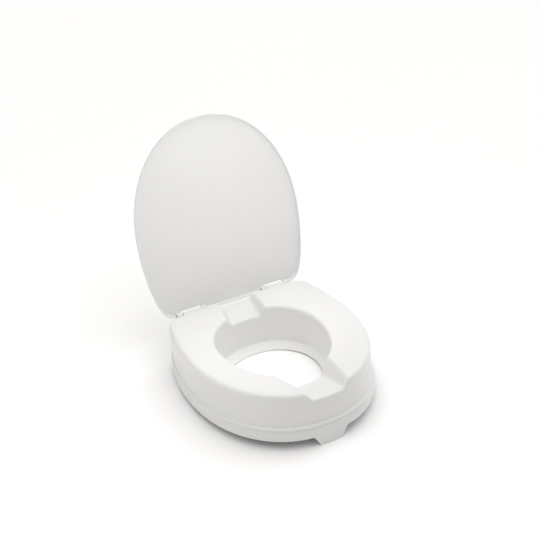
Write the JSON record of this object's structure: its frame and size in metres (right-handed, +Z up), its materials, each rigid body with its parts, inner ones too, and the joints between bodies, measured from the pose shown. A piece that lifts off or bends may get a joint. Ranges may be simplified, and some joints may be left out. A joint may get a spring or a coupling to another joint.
{
  "type": "raised toilet seat",
  "caption": "White moulded raised toilet seat with a hinged lid, front and rear recess, a front locating lug and hidden clamp brackets.",
  "frame": {"origin": "under the middle of the object's box with the lid open as in the picture, level with the tip of the front lug", "axes": "+X to the right seen from the front, -Y towards the front lug, +Y towards the hinge, +Z up"},
  "size_m": [0.37, 0.4776, 0.4942],
  "materials": {
    "seat_plastic": "white satin moulded plastic",
    "lid_plastic": "white satin moulded plastic",
    "pin_plastic": "smooth white acetal",
    "bracket_plastic": "white moulded nylon",
    "bracket_rubber": "ribbed grey rubber",
    "bolt_steel": "zinc plated steel",
    "washer_steel": "zinc plated steel",
    "nut_plastic": "white moulded nylon",
    "pad_foam": "grey closed-cell foam rubber"
  },
  "bodies": {
    "seat": {"seat_shell": "seat_plastic", "rim_band": "seat_plastic", "splash_guard": "seat_plastic", "hinge_pin_right": "pin_plastic", "hinge_pin_left": "pin_plastic", "rim_pad_front_right": "pad_foam", "rim_pad_rear_right": "pad_foam", "rim_pad_front_left": "pad_foam", "rim_pad_rear_left": "pad_foam"},
    "lid": {"lid": "lid_plastic"},
    "clamp_right": {"clamp_bracket_right": "bracket_plastic", "bracket_pad_right": "bracket_rubber", "clamp_bolt_right": "bolt_steel", "clamp_washer_right": "washer_steel"},
    "clamp_left": {"clamp_bracket_left": "bracket_plastic", "bracket_pad_left": "bracket_rubber", "clamp_bolt_left": "bolt_steel", "clamp_washer_left": "washer_steel"},
    "wing_nut_right": {"wing_nut_right": "nut_plastic"},
    "wing_nut_left": {"wing_nut_left": "nut_plastic"}
  },
  "joints": [
    {"name": "lid_hinge", "type": "hinge", "parent": "seat", "child": "lid", "pos_m": [0, 0.14865, 0.114], "axis": [1, 0, 0], "range_deg": [0, 102]},
    {"name": "clamp_slide_right", "type": "slide", "parent": "seat", "child": "clamp_right", "axis": [0.5736, -0.8192, 0], "range_m": [-0.01, 0.006]},
    {"name": "clamp_slide_left", "type": "slide", "parent": "seat", "child": "clamp_left", "axis": [-0.5736, -0.8192, 0], "range_m": [-0.01, 0.006]},
    {"name": "wing_nut_spin_right", "type": "hinge", "parent": "clamp_right", "child": "wing_nut_right", "pos_m": [0.10124, -0.15243, 0.0739], "axis": [0, 0, 1], "continuous": true},
    {"name": "wing_nut_spin_left", "type": "hinge", "parent": "clamp_left", "child": "wing_nut_left", "pos_m": [-0.10124, -0.15243, 0.0739], "axis": [0, 0, 1], "continuous": true}
  ]
}
